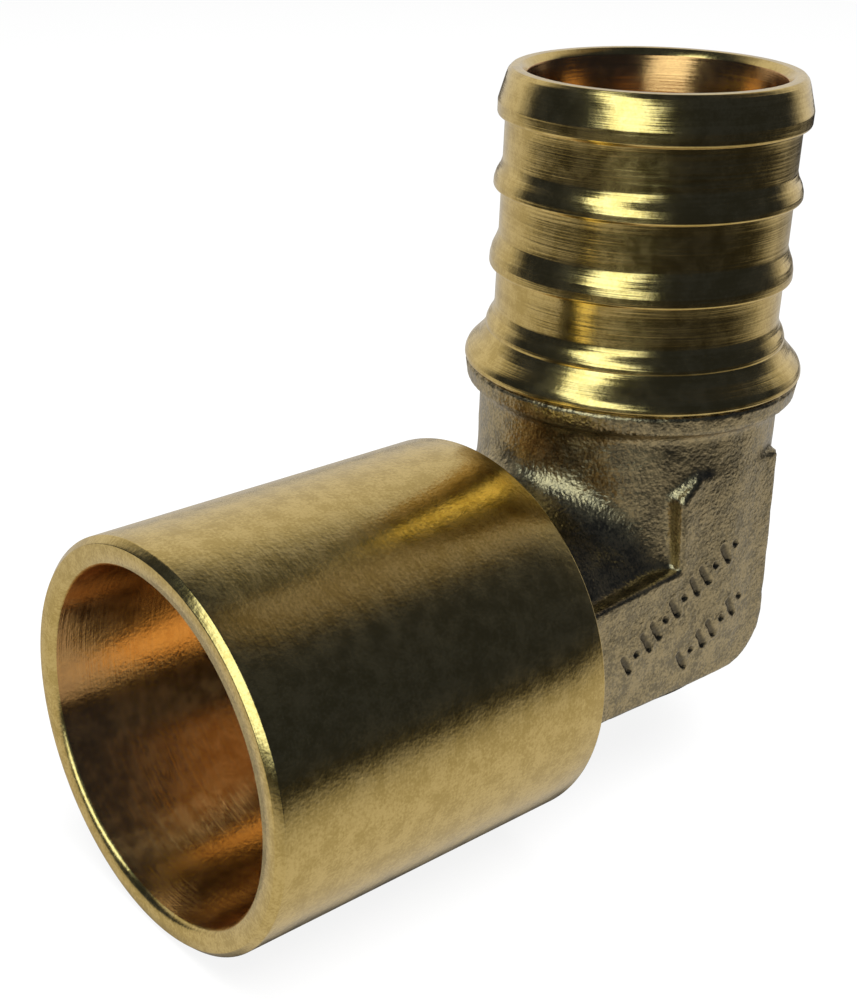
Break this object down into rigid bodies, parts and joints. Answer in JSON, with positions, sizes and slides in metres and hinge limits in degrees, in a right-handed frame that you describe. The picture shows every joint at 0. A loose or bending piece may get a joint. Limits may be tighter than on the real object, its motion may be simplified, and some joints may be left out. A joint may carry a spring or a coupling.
{
  "type": "reducing elbow pipe fitting",
  "caption": "Right-angle brass pipe elbow with a smooth solder cup for copper tube on one end and a smaller ribbed insert barb with a stop collar on the other.",
  "frame": {"origin": "centre of the tube stop, at the bottom of the solder cup, on the cup's axis", "axes": "-X along the cup's axis out of its mouth; +Z parallel to the barb's axis, towards the barb's end; the plane y = 0 is the part's plane of symmetry"},
  "size_m": [0.0512, 0.026, 0.0484],
  "materials": {
    "brass": "bright turned ends with fine tool marks, dull blasted forging between them"
  },
  "bodies": {
    "root": {"elbow": "brass"}
  },
  "joints": []
}
